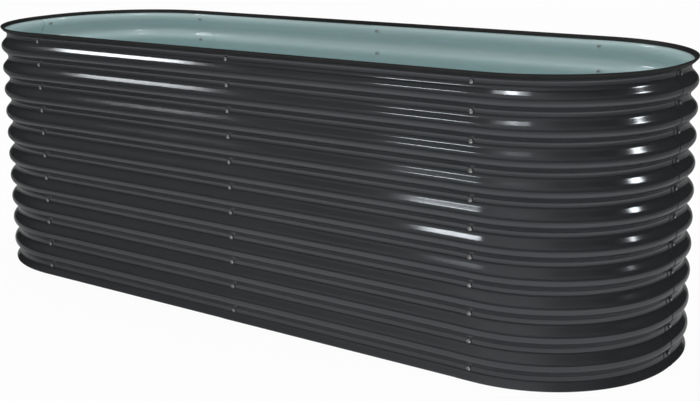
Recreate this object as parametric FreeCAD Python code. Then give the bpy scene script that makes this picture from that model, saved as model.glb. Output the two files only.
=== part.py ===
import FreeCAD, Part
import math
import os

# A raised garden bed: a tall open ring of eight lapped panels of corrugated steel sheet, with an open top and no floor.
# Millimetres, +Z up. The origin is on the ground at the middle of the bed. +X runs along the bed and +Y towards its back.
# Four straight panels make the long sides and four quarter-round panels make the two ends. Going round the bed
# anticlockwise, as seen from above, each panel starts on the outside of the one before it and ends under the next.

# Corrugated sheet
pitch = 76.0            # one full wave, from groove to groove
wave_depth = 20.0       # from groove to crest
flank_deg = 42.0        # lean of the straight flanks between crests and grooves, from upright
sheet_t = 0.8           # steel thickness
rows = 11               # grooves seen on the outside, each with one screw at every seam
top_lip = 7.0           # cut edge at the top, above the middle of the last flank
bottom_lip = 8.0        # cut edge that stands on the ground, below the middle of the first flank

# Plan of the bed
bend_r = 368.0          # corner bend, measured in the grooves
seam_pitch = 805.0      # from screw row to screw row along a straight panel
tab = 23.0              # from a corner's screw row to the start of its bend
lap = 29.0              # from a screw row to the end of the sheet
nest_gap = 0.15         # between the two sheets of a lap, where their flanks come nearest

# Screw, washers and nut at each hole
screw_r = 3.0           # shank
screw_length = 14.0     # under the head
head_r = 6.1
head_h = 3.8
head_side = 1.5         # straight side of the head, below its dome
hole_play = 0.4         # hole in the sheet, beyond the shank
seal_r = 7.0            # sealing washer
seal_t = 1.6            # its thickness on the axis
washer_r = 6.0          # steel washer
washer_t = 1.2
nut_flats = 10.0
nut_t = 5.0
thread_play = 0.05      # between the shank and what is threaded on it
seat_gap = 0.05         # between a washer or a rod's end and the curved sheet

# Tie rods across the middle
rod_r = 6.0
rod_bore_spare = 4.0    # threaded depth beyond the screw's tip

# Rubber edge trim
trim_wall = 2.0
trim_depth = 12.5       # length of its two legs
trim_play = 0.3         # between the slot and the sheets in it
trim_joint = 0.6        # gap where the strip's two ends meet
trim_joint_x = 350.0    # place of that joint on the back wall

# Worked out from the sizes above
half_wave = pitch / 2
flank = math.radians(flank_deg)
wave_r = (half_wave * math.tan(flank) - wave_depth) / (2 / math.cos(flank) - 2)  # crests and grooves, at mid-thickness
crest_u = wave_depth - wave_r                         # centre of a crest's arc, outwards from the grooves
lap_step = sheet_t / math.cos(flank) + nest_gap       # how far the outer sheet of a lap stands out
first_row = half_wave / 2 + bottom_lip                # height of the lowest groove
last_row = first_row + (rows - 1) * pitch
sheet_top = last_row + half_wave / 2 + top_lip
last_crest = last_row + half_wave                     # centre of the arc that the top edge cuts
wall_y = tab + bend_r                                 # mid-thickness of a side wall's grooves
end_x = seam_pitch + tab + bend_r                     # the same on the two ends
bend_x = seam_pitch + tab                             # centre of each corner's bend, along the bed
inner_face = -sheet_t / 2                             # places on a screw's axis, outwards from the inner sheet's middle
outer_face = lap_step + sheet_t / 2
head_seat = outer_face + seal_t
washer_seat = inner_face - seat_gap
nut_seat = washer_seat - washer_t
hole_r = screw_r + hole_play
thread_r = screw_r + thread_play
row_heights = [first_row + i * pitch for i in range(rows)]
tie_rows = {"lower": rows // 3, "upper": rows - 1 - rows // 3}

up = FreeCAD.Vector(0, 0, 1)
outwards = FreeCAD.Vector(1, 0, 0)
onwards = FreeCAD.Vector(0, 1, 0)                      # anticlockwise along a wall that faces +X
origin = FreeCAD.Vector(0, 0, 0)

# The ways that walls face, in degrees from +X
right_deg = 0
back_deg = 90
left_deg = 180
front_deg = 270
quarter_deg = 90

# Each seam: the way it faces, and where its screws cross the grooves
seams = {
    "front_left": (front_deg, -seam_pitch, -wall_y),
    "front_middle": (front_deg, 0, -wall_y),
    "front_right": (front_deg, seam_pitch, -wall_y),
    "right_end": (right_deg, end_x, 0),
    "back_right": (back_deg, seam_pitch, wall_y),
    "back_middle": (back_deg, 0, wall_y),
    "back_left": (back_deg, -seam_pitch, wall_y),
    "left_end": (left_deg, -end_x, 0),
}
side_panels = {                                       # each named with the seam at its right end
    "side_panel_front_left": "front_middle",
    "side_panel_front_right": "front_right",
    "side_panel_back_right": "back_middle",
    "side_panel_back_left": "back_left",
}
corner_panels = {                                     # each with the way its far end faces, and its bend's centre
    "corner_panel_front_right": (right_deg, bend_x, -tab),
    "corner_panel_back_right": (back_deg, bend_x, tab),
    "corner_panel_back_left": (left_deg, -bend_x, tab),
    "corner_panel_front_left": (front_deg, -bend_x, -tab),
}


def arc(centre_u, centre_z, radius, start, end):
    # An arc in the upright plane of a section: u is outwards, angles are from +u towards +z.
    angles = (start, (start + end) / 2, end)
    points = [FreeCAD.Vector(centre_u + radius * math.cos(a), 0, centre_z + radius * math.sin(a)) for a in angles]
    return Part.Arc(*points).toShape()


def ends(edge):
    return edge.valueAt(edge.FirstParameter), edge.valueAt(edge.LastParameter)


def section(edges):
    return Part.Face(Part.Wire(Part.__sortEdges__(edges)))


def place(shape, turn, x, y, z=0.0):
    placed = shape.copy()
    placed.rotate(origin, up, turn)
    placed.translate(FreeCAD.Vector(x, y, z))
    return placed


def sheet_face(offset):
    # One face of the corrugated sheet, bottom to top, that far outside its mid-thickness.
    crest = wave_r + offset
    groove = wave_r - offset
    below = first_row - half_wave
    arcs = [arc(crest_u, below, crest, math.asin(-below / crest), flank)]
    for i, z in enumerate(row_heights):
        arcs.append(arc(wave_r, z, groove, math.pi + flank, math.pi - flank))
        if i < rows - 1:
            arcs.append(arc(crest_u, z + half_wave, crest, -flank, flank))
    arcs.append(arc(crest_u, last_crest, crest, -flank, math.asin((sheet_top - last_crest) / crest)))
    flanks = [Part.makeLine(ends(a)[1], ends(b)[0]) for a, b in zip(arcs, arcs[1:])]
    return [edge for pair in zip(arcs, flanks) for edge in pair] + arcs[-1:]


def sheet_section():
    outer = sheet_face(sheet_t / 2)
    inner = sheet_face(-sheet_t / 2)
    bottom = Part.makeLine(ends(outer[0])[0], ends(inner[0])[0])
    top = Part.makeLine(ends(outer[-1])[1], ends(inner[-1])[1])
    return section(outer + [top] + inner + [bottom])


def drill(panel, x, y, direction):
    # One hole in every groove, on an upright line through x, y.
    reach = wave_depth
    start = FreeCAD.Vector(x, y, 0) - direction * reach
    holes = [Part.makeCylinder(hole_r, 2 * reach, start + up * z, direction) for z in row_heights]
    return panel.cut(Part.makeCompound(holes))


def side_panel(profile):
    # Faces +X with its right screw row at the origin. Its left end stands out by one lap step.
    length = seam_pitch + 2 * lap
    panel = profile.extrude(onwards * length)
    panel.translate(onwards * (lap - length))
    for y in (0, -seam_pitch):
        panel = drill(panel, 0, y, outwards)
    panel.rotate(origin, up, math.degrees(math.asin(lap_step / seam_pitch)))
    return panel


def corner_panel(profile):
    # Turns from facing -Y to facing +X round the origin, with a flat tab at each end.
    finish = place(profile, 0, bend_r, 0)
    start = place(finish, -quarter_deg, 0, 0)
    bend = start.revolve(origin, up, quarter_deg)
    start_tab = start.extrude(outwards * -(tab + lap))
    end_tab = finish.extrude(onwards * (tab + lap))
    panel = bend.fuse([start_tab, end_tab])
    panel = drill(panel, -tab, -bend_r, onwards)
    panel = drill(panel, bend_r, tab + lap_step, outwards)
    panel.translate(onwards * -lap_step)
    return panel


def trim_section():
    # A round-backed U that leans with the flank that the sheets' top edge cuts. It is drawn upright round that
    # flank's middle, with the slot wide enough for a lap, and then leaned.
    slot_in = -sheet_t / 2 - trim_play
    slot_out = lap_step * math.cos(flank) + sheet_t / 2 + trim_play
    skin_in = slot_in - trim_wall
    skin_out = slot_out + trim_wall
    edge_r = wave_r + sheet_t / 2
    edge_u = crest_u + edge_r * math.cos(math.asin((sheet_top - last_crest) / edge_r)) + lap_step
    slot_top = top_lip * math.cos(flank) + (edge_u - wave_depth / 2) * math.sin(flank) + trim_play
    leg_end = slot_top - trim_depth
    crown = FreeCAD.Vector((skin_in + skin_out) / 2, 0, slot_top + (skin_out - skin_in) / 2)
    corners = ((skin_in, slot_top), (skin_in, leg_end), (slot_in, leg_end), (slot_in, slot_top),
               (slot_out, slot_top), (slot_out, leg_end), (skin_out, leg_end), (skin_out, slot_top))
    points = [FreeCAD.Vector(u, 0, z) for u, z in corners]
    lines = [Part.makeLine(a, b) for a, b in zip(points, points[1:])]
    profile = section(lines + [Part.Arc(points[-1], crown, points[0]).toShape()])
    profile.rotate(origin, onwards, flank_deg)
    profile.translate(FreeCAD.Vector(wave_depth / 2, 0, sheet_top - top_lip))
    return profile


def edge_trim():
    # Runs once round the bed, from one side of its joint on the back wall to the other.
    profile = trim_section()
    pieces = []
    bend_start = place(profile, 0, bend_r, 0)
    for turn, x, y in corner_panels.values():
        bend = place(bend_start, turn - quarter_deg, 0, 0).revolve(origin, up, quarter_deg)
        bend.translate(FreeCAD.Vector(x, y, 0))
        pieces.append(bend)
    joint_start = trim_joint_x + trim_joint / 2
    joint_end = trim_joint_x - trim_joint / 2
    runs = (                                          # facing, where the run starts, its length
        (front_deg, -bend_x, -wall_y, 2 * bend_x),
        (right_deg, end_x, -tab, 2 * tab),
        (back_deg, bend_x, wall_y, bend_x - joint_start),
        (back_deg, joint_end, wall_y, joint_end + bend_x),
        (left_deg, -end_x, tab, 2 * tab),
    )
    for facing, x, y, length in runs:
        pieces.append(place(profile.extrude(onwards * length), facing, x, y))
    return pieces[0].fuse(pieces[1:])


def screw():
    # Faces +X, with a pan head and its axis through the origin.
    tip = head_seat - screw_length
    shoulder = head_seat + head_side
    crown = head_seat + head_h
    dome_r = (head_r ** 2 + (crown - shoulder) ** 2) / (2 * (crown - shoulder))
    half_turn = math.asin(head_r / dome_r)
    dome = arc(crown - dome_r, 0, dome_r, 0, half_turn)
    corners = ((crown, 0), (tip, 0), (tip, screw_r), (head_seat, screw_r), (head_seat, head_r), (shoulder, head_r))
    points = [FreeCAD.Vector(u, 0, v) for u, v in corners]
    lines = [Part.makeLine(a, b) for a, b in zip(points, points[1:])]
    return section(lines + [dome]).revolve(origin, outwards, 360)


def sealing_washer():
    # Flat under the screw head and rounded underneath to lie in the groove.
    groove_r = wave_r - sheet_t / 2 - seat_gap
    blank = Part.makeCylinder(seal_r, seal_t, outwards * outer_face, outwards)
    bore = Part.makeCylinder(thread_r, seal_t, outwards * outer_face, outwards)
    groove_start = FreeCAD.Vector(lap_step + wave_r, -seal_r, 0)
    groove = Part.makeCylinder(groove_r, 2 * seal_r, groove_start, onwards)
    return blank.cut(bore).common(groove)


def washer():
    blank = Part.makeCylinder(washer_r, washer_t, outwards * nut_seat, outwards)
    return blank.cut(Part.makeCylinder(hole_r, washer_t, outwards * nut_seat, outwards))


def nut():
    corner_r = nut_flats / math.sqrt(3)
    angles = [math.radians(60 * i) for i in range(7)]
    points = [FreeCAD.Vector(nut_seat, corner_r * math.cos(a), corner_r * math.sin(a)) for a in angles]
    blank = Part.Face(Part.makePolygon(points)).extrude(outwards * -nut_t)
    return blank.cut(Part.makeCylinder(thread_r, nut_t, outwards * nut_seat, outwards * -1))


def tie_rod():
    # A round bar from wall to wall, drilled and threaded at both ends for the seam's own screws.
    reach = wall_y + inner_face - seat_gap
    depth = screw_length - seal_t - outer_face + inner_face - seat_gap + rod_bore_spare
    rod = Part.makeCylinder(rod_r, 2 * reach, onwards * -reach, onwards)
    for way in (onwards, onwards * -1):
        rod = rod.cut(Part.makeCylinder(thread_r, depth, way * reach, way * -1))
    return rod


def column(shape, seam, skip):
    # The same fastener in each row of a seam, but for the rows to skip.
    facing, x, y = seams[seam]
    return Part.makeCompound([place(shape, facing, x, y, z) for i, z in enumerate(row_heights) if i not in skip])


def save(name, shape):
    shape.exportStep("parts/" + name + ".step")
    print(name, len(shape.Solids), "solids,", round(shape.Volume / 1000, 1), "cm3")


os.makedirs("parts", exist_ok=True)
sheet = sheet_section()

panel = side_panel(sheet)
for name, seam in side_panels.items():
    save(name, place(panel, *seams[seam]))

panel = corner_panel(sheet)
for name, where in corner_panels.items():
    save(name, place(panel, *where))

save("edge_trim", edge_trim())

for name, row in tie_rows.items():
    save("tie_rod_" + name, place(tie_rod(), 0, 0, 0, row_heights[row]))

fasteners = {"screws": screw(), "sealing_washers": sealing_washer(), "washers": washer(), "nuts": nut()}
for seam in seams:
    for name, shape in fasteners.items():
        rod_ends = tie_rows.values() if seam.endswith("middle") and name in ("washers", "nuts") else ()
        save(name + "_" + seam, column(shape, seam, rod_ends))
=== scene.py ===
import math
import random

import bpy
from mathutils import Matrix, Vector, noise


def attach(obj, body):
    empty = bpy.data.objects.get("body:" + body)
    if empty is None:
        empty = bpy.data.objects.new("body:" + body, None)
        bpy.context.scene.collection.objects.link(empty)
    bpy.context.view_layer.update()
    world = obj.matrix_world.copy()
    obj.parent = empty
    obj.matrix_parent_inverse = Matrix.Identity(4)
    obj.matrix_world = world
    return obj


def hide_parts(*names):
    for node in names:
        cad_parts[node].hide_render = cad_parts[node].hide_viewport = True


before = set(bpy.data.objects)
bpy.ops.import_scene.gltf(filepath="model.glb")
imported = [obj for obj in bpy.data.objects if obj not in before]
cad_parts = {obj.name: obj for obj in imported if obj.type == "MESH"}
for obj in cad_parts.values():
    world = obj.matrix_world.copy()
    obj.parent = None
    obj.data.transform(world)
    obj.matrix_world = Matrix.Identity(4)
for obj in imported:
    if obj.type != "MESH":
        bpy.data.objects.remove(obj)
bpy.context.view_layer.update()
mm = 0.001
print("frame loaded,", len(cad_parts), "CAD nodes")

# Shared sizes, the same as in the part's source

bed = {
    "pitch": 76 * mm,          # from groove to groove
    "waveDepth": 20 * mm,
    "thickness": 0.8 * mm,
    "rows": 11,                # screws in a seam
    "flank": math.radians(42),  # lean of the straight flanks from upright
    "topLip": 7 * mm,
    "bottomLip": 8 * mm,
    "bendR": 368 * mm,
    "seamPitch": 805 * mm,
    "tab": 23 * mm,            # from a corner's screws to its bend
    "lap": 29 * mm,            # from the screws to the cut edge
    "nestGap": 0.15 * mm,      # between the two sheets of a lap, where they come nearest
}
halfWave = bed["pitch"] / 2
flank = bed["flank"]
waveR = (halfWave * math.tan(flank) - bed["waveDepth"]) / (2 / math.cos(flank) - 2)
crestU = bed["waveDepth"] - waveR
halfSheet = bed["thickness"] / 2
lapStep = bed["thickness"] / math.cos(flank) + bed["nestGap"]
firstRow = halfWave / 2 + bed["bottomLip"]
lastRow = firstRow + (bed["rows"] - 1) * bed["pitch"]
sheetTop = lastRow + halfWave / 2 + bed["topLip"]
lastCrest = lastRow + halfWave
rowHeights = [firstRow + i * bed["pitch"] for i in range(bed["rows"])]
tieRows = (bed["rows"] // 3, bed["rows"] - 1 - bed["rows"] // 3)
wallY = bed["tab"] + bed["bendR"]
endX = bed["seamPitch"] + wallY
bendX = bed["seamPitch"] + bed["tab"]                   # centre of each corner's bend
quarterTurn = math.pi / 2

# Each seam: the way it faces from +X, and where its screws stand
seams = {
    "front_left": (-quarterTurn, -bed["seamPitch"], -wallY),
    "front_middle": (-quarterTurn, 0, -wallY),
    "front_right": (-quarterTurn, bed["seamPitch"], -wallY),
    "right_end": (0, endX, 0),
    "back_right": (quarterTurn, bed["seamPitch"], wallY),
    "back_middle": (quarterTurn, 0, wallY),
    "back_left": (quarterTurn, -bed["seamPitch"], wallY),
    "left_end": (2 * quarterTurn, -endX, 0),
}

# Node helpers


def makeNodes(tree, recipes):
    # recipes: name -> (type, settings, inputs); an input that is a (node, socket) pair becomes a link
    made = {}
    for name, (kind, settings, _) in recipes.items():
        node = tree.nodes.get(name) or tree.nodes.new(kind)
        node.name = name
        for key, value in settings.items():
            setattr(node, key, value)
        made[name] = node
    for name, (_, _, inputs) in recipes.items():
        for socket, value in inputs.items():
            target = made[name].inputs[socket]
            if isinstance(value, tuple) and len(value) == 2 and value[0] in made:
                tree.links.new(made[value[0]].outputs[value[1]], target)
            else:
                target.default_value = value
    for i, node in enumerate(made.values()):
        node.location = (220 * (i % 6), -260 * (i // 6))
    return made


def newGroup(name, inputs, outputs):
    tree = bpy.data.node_groups.new(name, "ShaderNodeTree")
    for label, kind, start in inputs:
        socket = tree.interface.new_socket(name=label, in_out="INPUT", socket_type=kind)
        socket.default_value = start
    for label, kind in outputs:
        tree.interface.new_socket(name=label, in_out="OUTPUT", socket_type=kind)
    return tree


def floatMath(operation, first, second):
    return ("ShaderNodeMath", {"operation": operation}, {0: first, 1: second})


def vectorProduct(first, second):
    return ("ShaderNodeVectorMath", {"operation": "MULTIPLY"}, {0: first, 1: second})


def dimmedColour(colour, share):
    return ("ShaderNodeVectorMath", {"operation": "SCALE"}, {0: colour, "Scale": share})


def colourMix(share, first, second, blend="MIX"):
    # Sockets 6 and 7 are the Mix node's two colours, and its output 2 is the mixed one
    return ("ShaderNodeMix", {"data_type": "RGBA", "blend_type": blend}, {0: share, 6: first, 7: second})


# Cloudy change of shade and gloss, as on any coated or rolled surface
cloudyFinish = newGroup(
    "cloudyFinish",
    [
        ("Shade", "NodeSocketColor", (0.5, 0.5, 0.5, 1)),
        ("Other Shade", "NodeSocketColor", (0.4, 0.4, 0.4, 1)),
        ("Size", "NodeSocketFloat", 8.0),
        ("Roughness", "NodeSocketFloat", 0.3),
        ("Spread", "NodeSocketFloat", 0.1),
    ],
    [("Color", "NodeSocketColor"), ("Roughness", "NodeSocketFloat")],
)
makeNodes(cloudyFinish, {
    "in": ("NodeGroupInput", {}, {}),
    "place": ("ShaderNodeTexCoord", {}, {}),
    "clouds": ("ShaderNodeTexNoise", {}, {
        "Vector": ("place", "Object"), "Scale": ("in", "Size"), "Detail": 5.0, "Roughness": 0.6}),
    "spreadOut": ("ShaderNodeMapRange", {}, {"Value": ("clouds", "Fac"), "From Min": 0.3, "From Max": 0.7}),
    "shade": colourMix(("spreadOut", "Result"), ("in", "Shade"), ("in", "Other Shade")),
    "centred": floatMath("SUBTRACT", ("spreadOut", "Result"), 0.5),
    "scaled": floatMath("MULTIPLY", ("centred", "Value"), ("in", "Spread")),
    "gloss": floatMath("ADD", ("scaled", "Value"), ("in", "Roughness")),
    "out": ("NodeGroupOutput", {}, {"Color": ("shade", 2), "Roughness": ("gloss", "Value")}),
})

# Fine lines that the forming rolls leave along the wave, and the faint peel of the paint
rolledSkin = newGroup(
    "rolledSkin",
    [
        ("Lines", "NodeSocketFloat", 400.0),
        ("Peel", "NodeSocketFloat", 500.0),
        ("Peel Share", "NodeSocketFloat", 0.4),
    ],
    [("Height", "NodeSocketFloat")],
)
makeNodes(rolledSkin, {
    "in": ("NodeGroupInput", {}, {}),
    "place": ("ShaderNodeTexCoord", {}, {}),
    "stretch": ("ShaderNodeCombineXYZ", {}, {"X": 1.5, "Y": 1.5, "Z": ("in", "Lines")}),
    "stretched": vectorProduct(("place", "Object"), ("stretch", "Vector")),
    "lines": ("ShaderNodeTexNoise", {}, {"Vector": ("stretched", "Vector"), "Scale": 1.0, "Detail": 2.0}),
    "peel": ("ShaderNodeTexNoise", {}, {
        "Vector": ("place", "Object"), "Scale": ("in", "Peel"), "Detail": 1.0}),
    "height": ("ShaderNodeMix", {}, {
        0: ("in", "Peel Share"), 2: ("lines", "Fac"), 3: ("peel", "Fac")}),    # 2 and 3 are its two numbers
    "out": ("NodeGroupOutput", {}, {"Height": ("height", 0)}),
})

# Fine grain of cast, cut or moulded surfaces
fineGrain = newGroup(
    "fineGrain",
    [("Grain", "NodeSocketFloat", 900.0), ("Stretch", "NodeSocketVector", (1, 1, 1))],
    [("Height", "NodeSocketFloat")],
)
makeNodes(fineGrain, {
    "in": ("NodeGroupInput", {}, {}),
    "place": ("ShaderNodeTexCoord", {}, {}),
    "stretched": vectorProduct(("place", "Object"), ("in", "Stretch")),
    "grain": ("ShaderNodeTexNoise", {}, {
        "Vector": ("stretched", "Vector"), "Scale": ("in", "Grain"), "Detail": 3.0}),
    "out": ("NodeGroupOutput", {}, {"Height": ("grain", "Fac")}),
})


def finish(name, look, skin=None):
    # A material from its dictionary; skin is the node group that gives the bump, with its inputs
    material = bpy.data.materials.new(name)
    material.use_nodes = True
    tree = material.node_tree
    tree.nodes.clear()
    recipes = {
        "finish": ("ShaderNodeGroup", {"node_tree": cloudyFinish}, {
            "Shade": (*look["shade"], 1),
            "Other Shade": (*look["otherShade"], 1),
            "Size": look["cloudSize"],
            "Roughness": look["roughness"],
            "Spread": look["spread"],
        }),
        "surface": ("ShaderNodeBsdfPrincipled", {}, {
            "Base Color": ("finish", "Color"),
            "Roughness": ("finish", "Roughness"),
            "Metallic": look.get("metallic", 0.0),
            "Specular IOR Level": look.get("specular", 0.5),
            "Specular Tint": (*look.get("tint", (1, 1, 1)), 1),
        }),
        "out": ("ShaderNodeOutputMaterial", {}, {"Surface": ("surface", "BSDF")}),
    }
    if skin:
        group, values, depth = skin
        recipes["skin"] = ("ShaderNodeGroup", {"node_tree": group}, values)
        recipes["bump"] = ("ShaderNodeBump", {}, {
            "Height": ("skin", "Height"), "Strength": 1.0, "Distance": depth})
        recipes["surface"][2]["Normal"] = ("bump", "Normal")
    makeNodes(tree, recipes)
    return material


# Finishes

charcoalPaint = {
    "shade": (0.0120, 0.0128, 0.0140),
    "otherShade": (0.0145, 0.0153, 0.0165),
    "cloudSize": 3.0,
    "roughness": 0.13,
    "spread": 0.04,
    "specular": 0.75,
    "tint": (0.88, 0.94, 1.0),
    "lines": 330.0,
    "peel": 420.0,
    "peelShare": 0.45,
    "depth": 0.004 * mm,
}
sageCoat = {
    "shade": (0.530, 0.690, 0.697),
    "otherShade": (0.555, 0.715, 0.721),
    "cloudSize": 4.0,
    "roughness": 0.17,
    "spread": 0.06,
    "lines": 330.0,
    "peel": 420.0,
    "peelShare": 0.45,
    "depth": 0.005 * mm,
}
cutSteel = {
    "shade": (0.10, 0.10, 0.10),
    "otherShade": (0.05, 0.05, 0.052),
    "cloudSize": 60.0,
    "roughness": 0.5,
    "spread": 0.2,
    "metallic": 0.6,
    "grain": 900.0,
    "depth": 0.05 * mm,
}
trimRubber = {
    "shade": (0.006, 0.0062, 0.0064),
    "otherShade": (0.009, 0.0092, 0.0094),
    "cloudSize": 30.0,
    "roughness": 0.52,
    "spread": 0.12,
    "specular": 0.3,
    "grain": 1400.0,
    "depth": 0.06 * mm,
}
sealRubber = {
    "shade": (0.008, 0.008, 0.009),
    "otherShade": (0.013, 0.013, 0.014),
    "cloudSize": 90.0,
    "roughness": 0.6,
    "spread": 0.1,
    "grain": 2500.0,
    "depth": 0.03 * mm,
}
screwSteel = {
    "shade": (0.62, 0.62, 0.61),
    "otherShade": (0.50, 0.50, 0.50),
    "cloudSize": 140.0,
    "roughness": 0.26,
    "spread": 0.14,
    "metallic": 1.0,
    "grain": 2200.0,
    "depth": 0.015 * mm,
}
nutSteel = {
    "shade": (0.80, 0.81, 0.80),
    "otherShade": (0.66, 0.67, 0.67),
    "cloudSize": 110.0,
    "roughness": 0.34,
    "spread": 0.16,
    "metallic": 1.0,
    "grain": 1800.0,
    "depth": 0.02 * mm,
}
rodSteel = {
    "shade": (0.50, 0.51, 0.52),
    "otherShade": (0.40, 0.41, 0.43),
    "cloudSize": 24.0,
    "roughness": 0.38,
    "spread": 0.16,
    "metallic": 1.0,
    "grain": 900.0,
    "grainStretch": (1, 0.02, 1),      # long fibres along the rod
    "depth": 0.03 * mm,
}


def rolled(look):
    values = {"Lines": look["lines"], "Peel": look["peel"], "Peel Share": look["peelShare"]}
    return (rolledSkin, values, look["depth"])


def grained(look):
    stretch = look.get("grainStretch", (1, 1, 1))
    return (fineGrain, {"Grain": look["grain"], "Stretch": stretch}, look["depth"])


paintMaterial = finish("charcoal_paint", charcoalPaint, rolled(charcoalPaint))
coatMaterial = finish("sage_coat", sageCoat, rolled(sageCoat))
edgeMaterial = finish("cut_edge", cutSteel, grained(cutSteel))
trimMaterial = finish("trim_rubber", trimRubber, grained(trimRubber))
sealMaterial = finish("seal_rubber", sealRubber, grained(sealRubber))
screwMaterial = finish("screw_steel", screwSteel, grained(screwSteel))
nutMaterial = finish("nut_steel", nutSteel, grained(nutSteel))
rodMaterial = finish("rod_steel", rodSteel, grained(rodSteel))
print("finishes made")

# Mesh helpers


def makePiece(name, points, faces, materials, faceMaterials, replaced, sharpAngle):
    mesh = bpy.data.meshes.new(name)
    mesh.from_pydata(points, [], faces)
    for material in materials:
        mesh.materials.append(material)
    mesh.polygons.foreach_set("material_index", faceMaterials)
    mesh.polygons.foreach_set("use_smooth", [True] * len(faces))
    mesh.update()
    mesh.validate()
    mesh.set_sharp_from_angle(angle=math.radians(sharpAngle))
    piece = bpy.data.objects.new(name, mesh)
    bpy.context.scene.collection.objects.link(piece)
    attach(piece, "root")
    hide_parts(*replaced)
    return piece


def arcPoints(centreU, centreZ, radius, start, end, steps):
    angles = [start + (end - start) * i / steps for i in range(steps + 1)]
    return [(centreU + radius * math.cos(a), centreZ + radius * math.sin(a)) for a in angles]


def turned(x, y, angle):
    c, s = math.cos(angle), math.sin(angle)
    return x * c - y * s, x * s + y * c


def seamDistance(x, y):
    return min(math.hypot(x - seamX, y - seamY) for _, seamX, seamY in seams.values())


# Panels

panelLook = {
    "arcSteps": 14,            # along each crest and groove
    "flankPoints": (0.12, 0.5, 0.88),      # places of its points along each flank
    "sideSteps": 26,           # along a side panel
    "bendSteps": 36,           # round a corner
    "tabSteps": 2,
    "ripple": 0.32 * mm,       # gentle unevenness of thin sheet
    "rippleLength": 0.17,      # metres from one rise to the next, roughly
    "rippleUp": 0.8,           # its pace up the sheet, as a share of that along it
    "calmAtSeam": 0.16,        # metres from a lap over which it grows, as the screws hold the sheet flat
    "calmAtTop": 0.07,         # metres below the top edge over which it grows
    "sharpAngle": 35,          # degrees between faces from which an edge stays sharp
}
panelMaterials = [paintMaterial, coatMaterial, edgeMaterial]
outside, inside, cut = range(3)                         # places in that list


def skinLine(offset):
    # One skin of the sheet, bottom to top, that far outside its middle
    steps = panelLook["arcSteps"]
    crest, groove = waveR + offset, waveR - offset
    below = firstRow - halfWave
    arcs = [arcPoints(crestU, below, crest, math.asin(-below / crest), flank, steps // 2)]
    for i, z in enumerate(rowHeights):
        arcs.append(arcPoints(waveR, z, groove, math.pi + flank, math.pi - flank, steps))
        if i < bed["rows"] - 1:
            arcs.append(arcPoints(crestU, z + halfWave, crest, -flank, flank, steps))
    topTurn = math.asin((sheetTop - lastCrest) / crest)
    arcs.append(arcPoints(crestU, lastCrest, crest, -flank, topTurn, steps // 2))
    line = list(arcs[0])
    for before, after in zip(arcs, arcs[1:]):
        (u0, z0), (u1, z1) = before[-1], after[0]
        line += [(u0 + (u1 - u0) * s, z0 + (z1 - z0) * s) for s in panelLook["flankPoints"]] + after
    return line


outerLine = skinLine(halfSheet)
innerLine = skinLine(-halfSheet)


def ripple(x, y, z, calm):
    # Moves both sheets of a lap alike, so they stay nested
    top = min(1.0, max(0.0, (sheetTop - z) / panelLook["calmAtTop"]))
    where = Vector((x, y, z * panelLook["rippleUp"])) / panelLook["rippleLength"]
    return panelLook["ripple"] * calm * top * noise.noise(where)


def panelMesh(name, stations):
    # stations: plan points with the outward way, from left to right as seen from outside
    points, faces, finishes = [], [], []
    count = len(outerLine)
    for x, y, wayX, wayY in stations:
        calm = min(1.0, max(0.0, seamDistance(x, y) - bed["lap"]) / panelLook["calmAtSeam"])
        for line in (outerLine, innerLine):
            for u, z in line:
                reach = u + ripple(x, y, z, calm)
                points.append((x + wayX * reach, y + wayY * reach, z))
    for i in range(len(stations) - 1):
        here, after = 2 * count * i, 2 * count * (i + 1)
        for k in range(count - 1):
            faces.append((here + k, after + k, after + k + 1, here + k + 1))
            finishes.append(outside)
            low, high = count + k, count + k + 1
            faces.append((here + high, after + high, after + low, here + low))
            finishes.append(inside)
        top = count - 1
        faces.append((here, here + count, after + count, after))                    # bottom edge
        faces.append((here + top, after + top, after + count + top, here + count + top))
        finishes += [cut, cut]
    last = 2 * count * (len(stations) - 1)
    for k in range(count - 1):
        faces.append((k, k + 1, count + k + 1, count + k))
        faces.append((last + k, last + count + k, last + count + k + 1, last + k + 1))
        finishes += [cut, cut]
    makePiece(name + "_skin", points, faces, panelMaterials, finishes, [name],
              panelLook["sharpAngle"])


def evenly(start, end, steps):
    return [start + (end - start) * i / steps for i in range(steps + 1)]


def sideStations(seam):
    # Its right screws stand at the seam, and its left end stands out by one lap step
    facing, seamX, seamY = seams[seam]
    lean = math.asin(lapStep / bed["seamPitch"])
    stations = []
    for along in evenly(-bed["seamPitch"] - bed["lap"], bed["lap"], panelLook["sideSteps"]):
        x, y = turned(0, along, facing + lean)
        stations.append((seamX + x, seamY + y, *turned(1, 0, facing + lean)))
    return stations


def cornerStations(turn, centreX, centreY):
    reach = bed["tab"] + bed["lap"]
    local = [(x, -bed["bendR"], -quarterTurn) for x in evenly(-reach, 0, panelLook["tabSteps"])[:-1]]
    for angle in evenly(-quarterTurn, 0, panelLook["bendSteps"]):
        local.append((bed["bendR"] * math.cos(angle), bed["bendR"] * math.sin(angle), angle))
    local += [(bed["bendR"], y, 0) for y in evenly(0, reach, panelLook["tabSteps"])[1:]]
    stations = []
    for x, y, way in local:
        x, y = turned(x, y - lapStep, turn)
        stations.append((centreX + x, centreY + y, math.cos(way + turn), math.sin(way + turn)))
    return stations


sidePanels = {
    "side_panel_front_left": "front_middle",
    "side_panel_front_right": "front_right",
    "side_panel_back_right": "back_middle",
    "side_panel_back_left": "back_left",
}
cornerPanels = {
    "corner_panel_front_right": (0, bendX, -bed["tab"]),
    "corner_panel_back_right": (quarterTurn, bendX, bed["tab"]),
    "corner_panel_back_left": (2 * quarterTurn, -bendX, bed["tab"]),
    "corner_panel_front_left": (3 * quarterTurn, -bendX, -bed["tab"]),
}
for name, seam in sidePanels.items():
    panelMesh(name, sideStations(seam))
for name, place in cornerPanels.items():
    panelMesh(name, cornerStations(*place))
print("panels made")

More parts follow.
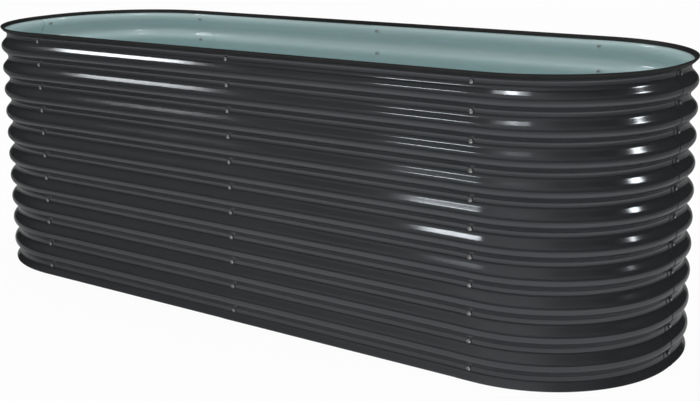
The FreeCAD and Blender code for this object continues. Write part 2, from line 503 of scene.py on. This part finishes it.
# Rubber trim on the top edge

trimLook = {
    "wall": 2 * mm,
    "depth": 12.5 * mm,        # length of its two legs
    "play": 0.3 * mm,          # between the slot and the sheets in it
    "joint": 0.6 * mm,         # gap between its two ends
    "jointX": 350 * mm,        # where they meet, on the back wall
    "capSteps": 16,
    "lipSteps": 6,
    "bendSteps": 30,
    "runStep": 50 * mm,        # rough step along its straight runs
    "sharpAngle": 40,
}


def trimLine():
    # The same U as in the part's source, with rounded lips: drawn upright, then leaned with the last flank
    slotIn = -halfSheet - trimLook["play"]
    slotOut = lapStep * math.cos(flank) + halfSheet + trimLook["play"]
    skinIn, skinOut = slotIn - trimLook["wall"], slotOut + trimLook["wall"]
    edgeR = waveR + halfSheet
    edgeU = crestU + math.sqrt(edgeR ** 2 - (sheetTop - lastCrest) ** 2) + lapStep
    rise = (edgeU - bed["waveDepth"] / 2) * math.sin(flank)
    slotTop = bed["topLip"] * math.cos(flank) + rise + trimLook["play"]
    lipR = trimLook["wall"] / 2
    lipUp = slotTop - trimLook["depth"] + lipR
    capU, capR = (skinIn + skinOut) / 2, (skinOut - skinIn) / 2
    upright = arcPoints(capU, slotTop, capR, 0, math.pi, trimLook["capSteps"])
    upright += arcPoints(skinIn + lipR, lipUp, lipR, math.pi, 2 * math.pi, trimLook["lipSteps"])
    upright += [(slotIn, slotTop), (slotOut, slotTop)]
    upright += arcPoints(slotOut + lipR, lipUp, lipR, math.pi, 2 * math.pi, trimLook["lipSteps"])
    c, s = math.cos(flank), math.sin(flank)
    startU, startZ = bed["waveDepth"] / 2, sheetTop - bed["topLip"]
    return [(startU + n * c + along * s, startZ - n * s + along * c) for n, along in upright]


def trimStations():
    # Once round, anticlockwise from the joint
    def run(x0, y0, x1, y1, facing):
        steps = max(1, round(math.hypot(x1 - x0, y1 - y0) / trimLook["runStep"]))
        return [(x0 + (x1 - x0) * i / steps, y0 + (y1 - y0) * i / steps, facing) for i in range(steps)]

    def bend(centreX, centreY, start):
        found = []
        for i in range(trimLook["bendSteps"]):
            angle = start + quarterTurn * i / trimLook["bendSteps"]
            x = centreX + bed["bendR"] * math.cos(angle)
            y = centreY + bed["bendR"] * math.sin(angle)
            found.append((x, y, angle))
        return found

    half = trimLook["joint"] / 2
    path = run(trimLook["jointX"] - half, wallY, -bendX, wallY, quarterTurn)
    path += bend(-bendX, bed["tab"], quarterTurn)
    path += run(-endX, bed["tab"], -endX, -bed["tab"], 2 * quarterTurn)
    path += bend(-bendX, -bed["tab"], 2 * quarterTurn)
    path += run(-bendX, -wallY, bendX, -wallY, 3 * quarterTurn)
    path += bend(bendX, -bed["tab"], 3 * quarterTurn)
    path += run(endX, -bed["tab"], endX, bed["tab"], 0)
    path += bend(bendX, bed["tab"], 0)
    path += run(bendX, wallY, trimLook["jointX"] + half, wallY, quarterTurn)
    path.append((trimLook["jointX"] + half, wallY, quarterTurn))
    return path


def trimMesh():
    profile, path = trimLine(), trimStations()
    points, faces = [], []
    for x, y, facing in path:
        points += [(x + u * math.cos(facing), y + u * math.sin(facing), z) for u, z in profile]
    count = len(profile)
    for i in range(len(path) - 1):
        here, after = count * i, count * (i + 1)
        for k in range(count):
            n = (k + 1) % count
            faces.append((here + k, after + k, after + n, here + n))
    faces.append(tuple(range(count)))
    faces.append(tuple(reversed(range(count * (len(path) - 1), count * len(path)))))
    return points, faces


points, faces = trimMesh()
makePiece("edge_trim_strip", points, faces, [trimMaterial], [0] * len(faces), ["edge_trim"],
          trimLook["sharpAngle"])
print("trim made")

# Fasteners

fastener = {
    "shankR": 3 * mm,
    "length": 14 * mm,         # of the screw, under its head
    "sealT": 1.6 * mm,
    "washerT": 1.2 * mm,
    "nutT": 5 * mm,
    "holePlay": 0.4 * mm,      # in a flat washer's hole, beyond the shank
    "threadPlay": 0.05 * mm,   # between the shank and what is threaded on it
    "seatGap": 0.05 * mm,      # between the curved sheet and what is clamped on it
    "roundSides": 28,
    "sharpAngle": 32,
    "turnSeed": 11,            # for the way each screw and nut happens to be turned
}
innerFace = -halfSheet
outerFace = lapStep + halfSheet
headSeat = outerFace + fastener["sealT"]
washerSeat = innerFace - fastener["seatGap"]
nutSeat = washerSeat - fastener["washerT"]
nutEnd = nutSeat - fastener["nutT"]
tip = headSeat - fastener["length"]
washerHole = fastener["shankR"] + fastener["holePlay"]
threadBore = fastener["shankR"] + fastener["threadPlay"]


def turnedMesh(rings, angles, closed):
    # rings: functions from an angle to (axis place, radius); a closed one ends on its first ring
    points, faces = [], []
    for ring in rings:
        for a in angles:
            along, radius = ring(a)
            points.append((along, radius * math.cos(a), radius * math.sin(a)))
    n, m = len(angles), len(rings)
    for i in range(m if closed else m - 1):
        here, after = i * n, ((i + 1) % m) * n
        for k in range(n):
            j = (k + 1) % n
            faces.append((here + k, after + k, after + j, here + j))
    if not closed:
        faces.append(tuple(range(n)))
        faces.append(tuple(reversed(range((m - 1) * n, m * n))))
    return points, faces


def flat(along, radius):
    return lambda a: (along, radius)


def evenAngles(count):
    return [2 * math.pi * i / count for i in range(count)]


screwLook = {
    "headR": 6.1 * mm,
    "headH": 3.8 * mm,
    "headSide": 1.5 * mm,      # straight side of the head, below its dome
    "headRound": 0.25 * mm,
    "domeRings": (6.1 * mm, 6.0 * mm, 5.6 * mm, 5.0 * mm, 4.2 * mm),
    "tipShare": 0.72,          # radius of the tip, as a share of the shank's
    "tipLength": 0.35 * mm,
    "threadPitch": 1 * mm,
    "threadDepth": 0.45 * mm,
    "wing": 3.4 * mm,          # drive cross, from its middle to a wing's end
    "wingHalfWidth": 0.85 * mm,
    "crossDepth": 2.5 * mm,
    "mouthDepth": 0.3 * mm,    # the cross's slanted mouth
    "mouthShare": 0.93,        # what is left of the cross's width below it
    "floorShare": 0.6,         # and at its floor
    "wingStep": 0.55,          # place of the point on a wing's end, as a share of the turn to its corner
    "sideTurns": (24, 34),     # degrees of the points between a wing and the next
}


def crossReach(a):
    # Edge of the drive cross in the direction a
    wing, halfWidth = screwLook["wing"], screwLook["wingHalfWidth"]
    a = a % quarterTurn
    a = min(a, quarterTurn - a)
    hair = 1e-9                # keeps the wing's own corner on the wing
    if a < math.atan2(halfWidth, wing) + hair:
        return wing / math.cos(a)
    return halfWidth / math.sin(a)


def screwMesh():
    look, shankR, headR = screwLook, fastener["shankR"], screwLook["headR"]
    shoulder = headSeat + look["headSide"]
    crown = headSeat + look["headH"]
    rise = crown - shoulder
    domeR = (headR ** 2 + rise ** 2) / (2 * rise)

    def dome(radius):
        return crown - domeR + math.sqrt(domeR ** 2 - radius ** 2)

    rings = [flat(tip, shankR * look["tipShare"])]
    along = tip + look["tipLength"]
    while along < nutEnd + look["threadPitch"]:
        rings.append(flat(along, shankR))
        rings.append(flat(along + look["threadPitch"] / 2, shankR - look["threadDepth"]))
        along += look["threadPitch"]
    rings += [flat(along, shankR), flat(headSeat, shankR)]
    rings += [flat(headSeat, headR - look["headRound"]), flat(headSeat + look["headRound"], headR)]
    rings += [flat(dome(radius), radius) for radius in look["domeRings"]]
    rings.append(lambda a: (dome(crossReach(a)), crossReach(a)))
    rings.append(lambda a: (dome(crossReach(a)) - look["mouthDepth"], crossReach(a) * look["mouthShare"]))
    rings.append(lambda a: (crown - look["crossDepth"], crossReach(a) * look["floorShare"]))
    corner = math.atan2(look["wingHalfWidth"], look["wing"])
    firstAngles = [0, corner * look["wingStep"], corner]
    firstAngles += [math.radians(degrees) for degrees in look["sideTurns"]]
    angles = []
    for quarter in range(4):
        angles += [quarter * quarterTurn + a for a in firstAngles]
        angles.append((quarter + 0.5) * quarterTurn)
        angles += [(quarter + 1) * quarterTurn - a for a in reversed(firstAngles[1:])]
    return turnedMesh(rings, angles, False)


sealLook = {
    "radius": 7 * mm,
    # Rounding of its rim: how far below its top and in from its radius
    "rim": ((0, 0.45 * mm), (0.15 * mm, 0.15 * mm), (0.5 * mm, 0), (1.1 * mm, 0)),
    "edge": 0.1 * mm,          # least thickness of the rim, and how far in the underside ends
}


def sealMesh():
    radius = sealLook["radius"]

    def under(reach):
        # Its underside lies in the groove
        def ring(a):
            rise = reach * math.sin(a)
            grooveR = waveR - halfSheet - fastener["seatGap"]
            return lapStep + waveR - math.sqrt(grooveR ** 2 - rise ** 2), reach
        return ring

    def side(along, reach):
        def ring(a):
            return max(along, under(reach)(a)[0] + sealLook["edge"]), reach
        return ring

    rings = [flat(headSeat, threadBore)]
    rings += [side(headSeat - down, radius - inward) for down, inward in sealLook["rim"]]
    rings += [under(radius - sealLook["edge"]), under(threadBore)]
    return turnedMesh(list(reversed(rings)), evenAngles(fastener["roundSides"]), True)


washerLook = {
    "radius": 6 * mm,
    "soft": 0.2 * mm,          # rounding of its rim
}


def washerMesh():
    rim, soft = washerLook["radius"], washerLook["soft"]
    rings = [flat(nutSeat, washerHole), flat(nutSeat, rim - soft), flat(nutSeat + soft, rim),
             flat(washerSeat - soft, rim), flat(washerSeat, rim - soft), flat(washerSeat, washerHole)]
    return turnedMesh(rings, evenAngles(fastener["roundSides"]), True)


nutLook = {
    "flats": 10 * mm,
    # Chamfers: how far in from its seat or end, and the reach there as a share of half its width
    "seatCorners": ((0, 0.98), (0.25 * mm, 1.08), (0.5 * mm, 1.2)),
    "endCorners": ((0.5 * mm, 1.2), (0.25 * mm, 1.08), (0, 0.96)),
    "mouthWider": 0.5 * mm,    # mouth of its bore, beyond the bore
    "mouthDepth": 0.45 * mm,
    "sides": 36,
}


def nutMesh():
    half = nutLook["flats"] / 2

    def hexR(a):
        a = a % (math.pi / 3)
        return half / math.cos(a - math.pi / 6)

    def chamfered(along, limit):
        return lambda a: (along, min(hexR(a), limit))

    rings = [flat(nutSeat, threadBore)]
    rings += [chamfered(nutSeat - inward, half * share) for inward, share in nutLook["seatCorners"]]
    rings += [chamfered(nutEnd + inward, half * share) for inward, share in nutLook["endCorners"]]
    rings.append(flat(nutEnd, threadBore + nutLook["mouthWider"]))
    rings.append(flat(nutEnd + nutLook["mouthDepth"], threadBore))
    return turnedMesh(list(reversed(rings)), evenAngles(nutLook["sides"]), True)


def groupPiece(node, seam, part, material, skip, turn=None):
    # The same turned mesh at each row of a seam, but for the rows to skip
    facing, seamX, seamY = seams[seam]
    points, faces = [], []
    for row, height in enumerate(rowHeights):
        if row in skip:
            continue
        place = Matrix.Translation((seamX, seamY, height)) @ Matrix.Rotation(facing, 4, "Z")
        if turn:
            place = place @ Matrix.Rotation(turn(), 4, "X")
        start = len(points)
        points += [tuple(place @ Vector(p)) for p in part[0]]
        faces += [tuple(start + k for k in face) for face in part[1]]
    makePiece(node + "_set", points, faces, [material], [0] * len(faces), [node],
              fastener["sharpAngle"])


dice = random.Random(fastener["turnSeed"])


def anyTurn():
    return dice.uniform(0, quarterTurn)


screwPart, sealPart, washerPart, nutPart = screwMesh(), sealMesh(), washerMesh(), nutMesh()
for seam in seams:
    skip = tieRows if seam.endswith("middle") else ()
    groupPiece("screws_" + seam, seam, screwPart, screwMaterial, (), anyTurn)
    groupPiece("sealing_washers_" + seam, seam, sealPart, sealMaterial, ())
    groupPiece("washers_" + seam, seam, washerPart, nutMaterial, skip)
    groupPiece("nuts_" + seam, seam, nutPart, nutMaterial, skip, anyTurn)
print("fasteners made")

# Tie rods

rodLook = {
    "radius": 6 * mm,
    "endRound": 0.6 * mm,
    "sides": 32,
    "boreSpare": 4 * mm,       # threaded depth beyond the screw's tip
    "sharpAngle": 32,
}


def rodMesh():
    reach = wallY + innerFace - fastener["seatGap"]
    tipDepth = fastener["length"] - fastener["sealT"] - outerFace + innerFace - fastener["seatGap"]
    depth = tipDepth + rodLook["boreSpare"]
    r, e = rodLook["radius"], rodLook["endRound"]
    inset = e * 0.3            # of the middle ring of the rounded end, near to an arc's
    one = [flat(reach - depth, threadBore), flat(reach, threadBore), flat(reach, r - e),
           flat(reach - inset, r - inset), flat(reach - e, r)]
    rings = one + [flat(-ring(0)[0], ring(0)[1]) for ring in reversed(one)]
    return turnedMesh(list(reversed(rings)), evenAngles(rodLook["sides"]), False)


rodPoints, rodFaces = rodMesh()
for name, row in (("lower", tieRows[0]), ("upper", tieRows[1])):
    points = [(-y, x, z + rowHeights[row]) for x, y, z in rodPoints]
    node = "tie_rod_" + name
    makePiece(node + "_bar", points, rodFaces, [rodMaterial], [0] * len(rodFaces), [node],
              rodLook["sharpAngle"])
print("tie rods made")

# Floor and surroundings

# Each ramp lists shades with their angles. Those that run round the bed take degrees from the front, with the
# right end at 90 and the left end at -90, and those that run upwards take degrees above the floor.
roundRange = (-180, 180)
upRange = (0, 90)
stageLook = {
    "floorSize": 60.0,
    "floorShade": 0.9,
    "floorGlow": 0.95,         # share of the floor that is seen plain white; the rest keeps the shadow
    "fill": ((0, 0.3), (30, 0.45), (55, 1.0), (90, 1.3)),      # soft light from all round, by degrees up
    "paintedUplight": 3.6,             # painted light: glow of the floor outside the bed for diffuse rays, several times white, that lights the bed from below
    "paintedShadowAtWall": 0.55,            # painted shadow: share of the near floor's reflected shade right at the bed's wall, full at nearEnds
    "nearEnds": 0.5,           # metres from the wall where the near floor starts to change to the far floor
    # What the gloss mirrors, by degrees round the bed: the near floor and the far floor in painted reflection
    # shades, which only glossy rays see on the white floor, and the walls
    "farStarts": 1.6,
    # What the gloss mirrors: the near floor, the far floor and the walls, by degrees round the bed
    "paintedNearFloor": ((-180, 0.3), (-90, 0.3), (-62, 0.6), (-50, 0.7), (-35, 0.75), (-6, 0.85), (40, 0.88),
                  (75, 0.95), (105, 0.5), (180, 0.3)),
    "paintedFarFloor": ((-180, 0.2), (-90, 0.15), (-48, 0.12), (-38, 0.25), (-27, 0.38), (-17, 0.45), (0, 0.48),
                 (50, 0.45), (80, 0.2), (180, 0.15)),
    "walls": ((-180, 0.12), (-100, 0.15), (-70, 0.25), (-56, 0.28), (-48, 0.42), (-38, 0.6), (-30, 0.65),
              (5, 0.65), (25, 0.55), (41, 0.42), (52, 0.32), (80, 0.25), (100, 0.1), (180, 0.12)),
    "wallsFade": ((0, 0.18), (10, 0.2), (20, 0.4), (28, 0.7), (37, 1.0), (90, 1.0)),       # by degrees up
}


def fillRamp(node, stops, span):
    # Grey stops, each at its degrees within the span
    low, high = span
    elements = node.color_ramp.elements
    while len(elements) < len(stops):
        elements.new(0.5)
    for element, (degrees, shade) in zip(elements, stops):
        element.position = (degrees - low) / (high - low)
        element.color = (shade, shade, shade, 1)


# The way round the bed, from 0 at the back by the left, the front and the right to 1
roundShade = newGroup("roundShade", [("Way", "NodeSocketVector", (0, -1, 0))], [("Turn", "NodeSocketFloat")])
makeNodes(roundShade, {
    "in": ("NodeGroupInput", {}, {}),
    "split": ("ShaderNodeSeparateXYZ", {}, {"Vector": ("in", "Way")}),
    "front": floatMath("MULTIPLY", ("split", "Y"), -1.0),
    "turn": floatMath("ARCTAN2", ("split", "X"), ("front", "Value")),
    "share": ("ShaderNodeMapRange", {}, {
        "Value": ("turn", "Value"), "From Min": -math.pi, "From Max": math.pi}),
    "out": ("NodeGroupOutput", {}, {"Turn": ("share", "Result")}),
})

# 1 for the rays that the eye, a gloss or a glass sends
seenRay = {
    "path": ("ShaderNodeLightPath", {}, {}),
    "eyeOrGloss": floatMath("MAXIMUM", ("path", "Is Camera Ray"), ("path", "Is Glossy Ray")),
    "seenRay": floatMath("MAXIMUM", ("eyeOrGloss", "Value"), ("path", "Is Transmission Ray")),
}

floorMaterial = bpy.data.materials.new("pale_floor")
floorMaterial.use_nodes = True
floorMaterial.cycles.emission_sampling = "NONE"    # sampled as a lamp, it loses its light for diffuse rays
tree = floorMaterial.node_tree
tree.nodes.clear()
nearEdge = wallY + stageLook["nearEnds"]
made = makeNodes(tree, {
    **seenRay,
    "place": ("ShaderNodeTexCoord", {}, {}),
    "round": ("ShaderNodeGroup", {"node_tree": roundShade}, {"Way": ("place", "Object")}),
    "near": ("ShaderNodeValToRGB", {}, {"Fac": ("round", "Turn")}),
    "far": ("ShaderNodeValToRGB", {}, {"Fac": ("round", "Turn")}),
    "split": ("ShaderNodeSeparateXYZ", {}, {"Vector": ("place", "Object")}),
    "along": ("ShaderNodeMath", {"operation": "ABSOLUTE"}, {0: ("split", "X")}),
    "beyond": floatMath("SUBTRACT", ("along", "Value"), bendX),
    "past": floatMath("MAXIMUM", ("beyond", "Value"), 0.0),
    "reach": ("ShaderNodeCombineXYZ", {}, {"X": ("past", "Value"), "Y": ("split", "Y")}),
    "away": ("ShaderNodeVectorMath", {"operation": "LENGTH"}, {0: ("reach", "Vector")}),
    "apart": ("ShaderNodeMapRange", {"interpolation_type": "SMOOTHSTEP"}, {
        "Value": ("away", "Value"), "From Min": nearEdge, "From Max": wallY + stageLook["farStarts"]}),
    # Painted shadow: the floor's reflected shade darkens towards the bed's wall, where the bed's contact
    # shadow falls
    "paintedWallShadow": ("ShaderNodeMapRange", {}, {
        "Value": ("away", "Value"), "From Min": wallY, "From Max": nearEdge,
        "To Min": stageLook["paintedShadowAtWall"], "To Max": 1.0}),
    "dimmed": dimmedColour(("near", "Color"), ("paintedWallShadow", "Result")),
    # Painted reflection: glossy rays see the floor in these shades, darker to the left and behind the bed,
    # while the eye sees it white
    "paintedReflection": colourMix(("apart", "Result"), ("dimmed", "Vector"), ("far", "Color")),
    "seen": colourMix(("path", "Is Glossy Ray"), (1, 1, 1, 1), ("paintedReflection", 2)),
    # Painted light: for diffuse rays the floor outside the bed glows, and lights the bed's undersides as a
    # lamp would
    "outside": ("ShaderNodeMath", {"operation": "GREATER_THAN"}, {0: ("away", "Value"), 1: wallY}),
    "paintedUplightMask": floatMath("MULTIPLY", ("outside", "Value"), ("path", "Is Diffuse Ray")),
    "paintedUplightShade": dimmedColour(("near", "Color"), stageLook["paintedUplight"]),
    "glow": colourMix(("paintedUplightMask", "Value"), ("seen", 2), ("paintedUplightShade", "Vector")),
    "paper": ("ShaderNodeBsdfDiffuse", {}, {"Color": (stageLook["floorShade"],) * 3 + (1,)}),
    "white": ("ShaderNodeEmission", {}, {"Color": ("glow", 2), "Strength": 1.0}),
    "lit": floatMath("MAXIMUM", ("seenRay", "Value"), ("paintedUplightMask", "Value")),
    "share": floatMath("MULTIPLY", ("lit", "Value"), stageLook["floorGlow"]),
    "both": ("ShaderNodeMixShader", {}, {
        0: ("share", "Value"), 1: ("paper", "BSDF"), 2: ("white", "Emission")}),
    "out": ("ShaderNodeOutputMaterial", {}, {"Surface": ("both", "Shader")}),
})
fillRamp(made["near"], stageLook["paintedNearFloor"], roundRange)
fillRamp(made["far"], stageLook["paintedFarFloor"], roundRange)

half = stageLook["floorSize"] / 2
floorMesh = bpy.data.meshes.new("floor")
floorCorners = [(-half, -half, 0), (half, -half, 0), (half, half, 0), (-half, half, 0)]
floorMesh.from_pydata(floorCorners, [], [(0, 1, 2, 3)])
floorMesh.materials.append(floorMaterial)
floor = bpy.data.objects.new("floor", floorMesh)
bpy.context.scene.collection.objects.link(floor)

world = bpy.data.worlds.new("studio")
world.use_nodes = True
tree = world.node_tree
tree.nodes.clear()
made = makeNodes(tree, {
    **seenRay,
    "way": ("ShaderNodeTexCoord", {}, {}),
    "split": ("ShaderNodeSeparateXYZ", {}, {"Vector": ("way", "Generated")}),
    "up": floatMath("ARCSINE", ("split", "Z"), 0.0),
    "height": floatMath("DIVIDE", ("up", "Value"), quarterTurn),
    "fade": ("ShaderNodeValToRGB", {}, {"Fac": ("height", "Value")}),
    "round": ("ShaderNodeGroup", {"node_tree": roundShade}, {"Way": ("way", "Generated")}),
    "walls": ("ShaderNodeValToRGB", {}, {"Fac": ("round", "Turn")}),
    "studio": colourMix(1.0, ("fade", "Color"), ("walls", "Color"), "MULTIPLY"),
    "eye": colourMix(("path", "Is Camera Ray"), ("studio", 2), (1, 1, 1, 1)),
    "seen": ("ShaderNodeBackground", {}, {"Color": ("eye", 2), "Strength": 1.0}),
    "around": ("ShaderNodeValToRGB", {}, {"Fac": ("height", "Value")}),
    "fill": ("ShaderNodeBackground", {}, {"Color": ("around", "Color"), "Strength": 1.0}),
    "both": ("ShaderNodeMixShader", {}, {
        0: ("seenRay", "Value"), 1: ("fill", "Background"), 2: ("seen", "Background")}),
    "out": ("ShaderNodeOutputWorld", {}, {"Surface": ("both", "Shader")}),
})
fillRamp(made["fade"], stageLook["wallsFade"], upRange)
fillRamp(made["around"], stageLook["fill"], upRange)
fillRamp(made["walls"], stageLook["walls"], roundRange)
bpy.context.scene.world = world
print("stage made")

# Lamps

# Each lamp: where it stands, the point it lights, its length and width, the way its length runs, its
# brightness and the spread of its beam in degrees
lamps = {
    "leftStrip": {"place": (-1.965, -0.836, 2.256), "aim": (-0.34, -0.395, 0.765), "size": (0.60, 0.12),
                  "runs": (0.97, -0.07, 0.21), "bright": 26.0, "beam": 26},
    "frontPair": {"place": (0.06, -0.95, 1.605), "aim": (0.70, -0.395, 0.65), "size": (0.30, 0.05),
                  "runs": (1, 0, 0), "bright": 29.0, "beam": 60},
    "topBox": {"place": (0.547, -1.068, 2.833), "aim": (0.914, -0.386, 0.777), "size": (0.30, 0.08),
               "runs": (1, 0, 0), "bright": 26.0, "beam": 50},
    "topGlow": {"place": (0.544, -1.074, 2.851), "aim": (0.914, -0.386, 0.777), "size": (0.85, 0.08),
                "runs": (1, 0, 0), "bright": 12.0, "beam": 50},
    "endSpot": {"place": (2.838, 1.079, 2.58), "aim": (1.158, -0.195, 0.514), "size": (0.42, 0.38),
                "runs": (-0.6, 0.8, 0), "bright": 24.0, "beam": 40},
    "backStrip": {"place": (-2.60, -0.07, 2.55), "aim": (-0.895, 0.385, 0.753), "size": (0.14, 0.14),
                  "runs": (1, 0, 0), "bright": 30.0, "beam": 40},
    "backSpot": {"place": (-0.81, -0.55, 2.97), "aim": (-1.046, 0.312, 0.74), "size": (0.30, 0.14),
                 "runs": (1, 0, 0), "bright": 40.0, "beam": 40},
    "leftEndSpot": {"place": (-0.32, 1.35, 2.58), "aim": (-1.188, 0.062, 0.749), "size": (0.25, 0.14),
                    "runs": (1, 0, 0), "bright": 34.0, "beam": 40},
    "rightInside": {"place": (-0.80, 0.21, 2.37), "aim": (0.956, 0.362, 0.736), "size": (0.20, 0.20),
                    "runs": (0, 1, 0), "bright": 40.0, "beam": 30},
}
for name, lamp in lamps.items():
    data = bpy.data.lights.new(name, "AREA")
    data.shape = "RECTANGLE"
    data.size, data.size_y = lamp["size"]
    data.spread = math.radians(lamp["beam"])
    half = data.spread / 2
    narrowed = math.tan(half) / (math.tan(half) - half)      # a narrow beam is that much brighter on its axis
    data.energy = math.pi * lamp["size"][0] * lamp["size"][1] * lamp["bright"] / narrowed
    shine = bpy.data.objects.new(name, data)
    way = (Vector(lamp["place"]) - Vector(lamp["aim"])).normalized()
    across = way.cross(Vector(lamp["runs"])).normalized()
    facing = Matrix((across.cross(way), across, way)).transposed().to_4x4()
    shine.matrix_world = Matrix.Translation(lamp["place"]) @ facing
    shine.visible_camera = False
    bpy.context.scene.collection.objects.link(shine)
print("lamps made")

# Camera

cameraLook = {
    "place": (2.2357, -2.9496, 1.2535),
    "azimuth": 0.614,          # turned from +Y, in radians
    "down": 0.2069,            # tilted below level, in radians
    "roll": -0.012,
    "focalPixels": 1185.4,
    "frameWidth": 700,
    "middleY": 140.0,          # row of the photograph that the lens looks at
    "frameMiddleY": 200.5,
    "sensor": 36.0,
    "clipEnd": 200.0,
}
a, d, roll = cameraLook["azimuth"], cameraLook["down"], cameraLook["roll"]
forward = Vector((-math.sin(a) * math.cos(d), math.cos(a) * math.cos(d), -math.sin(d)))
right = forward.cross(Vector((0, 0, 1))).normalized()
upward = right.cross(forward)
rollCos, rollSin = math.cos(roll), math.sin(roll)
right, upward = (right * rollCos + upward * rollSin, upward * rollCos - right * rollSin)
lens = bpy.data.cameras.new("camera")
lens.sensor_width = cameraLook["sensor"]
lens.lens = cameraLook["focalPixels"] / cameraLook["frameWidth"] * cameraLook["sensor"]
lens.shift_y = (cameraLook["middleY"] - cameraLook["frameMiddleY"]) / cameraLook["frameWidth"]
lens.clip_end = cameraLook["clipEnd"]
camera = bpy.data.objects.new("camera", lens)
turn = Matrix((right, upward, -forward)).transposed().to_4x4()
camera.matrix_world = Matrix.Translation(cameraLook["place"]) @ turn
bpy.context.scene.collection.objects.link(camera)
bpy.context.scene.camera = camera
bpy.context.scene.view_settings.view_transform = "Standard"
print("camera made")
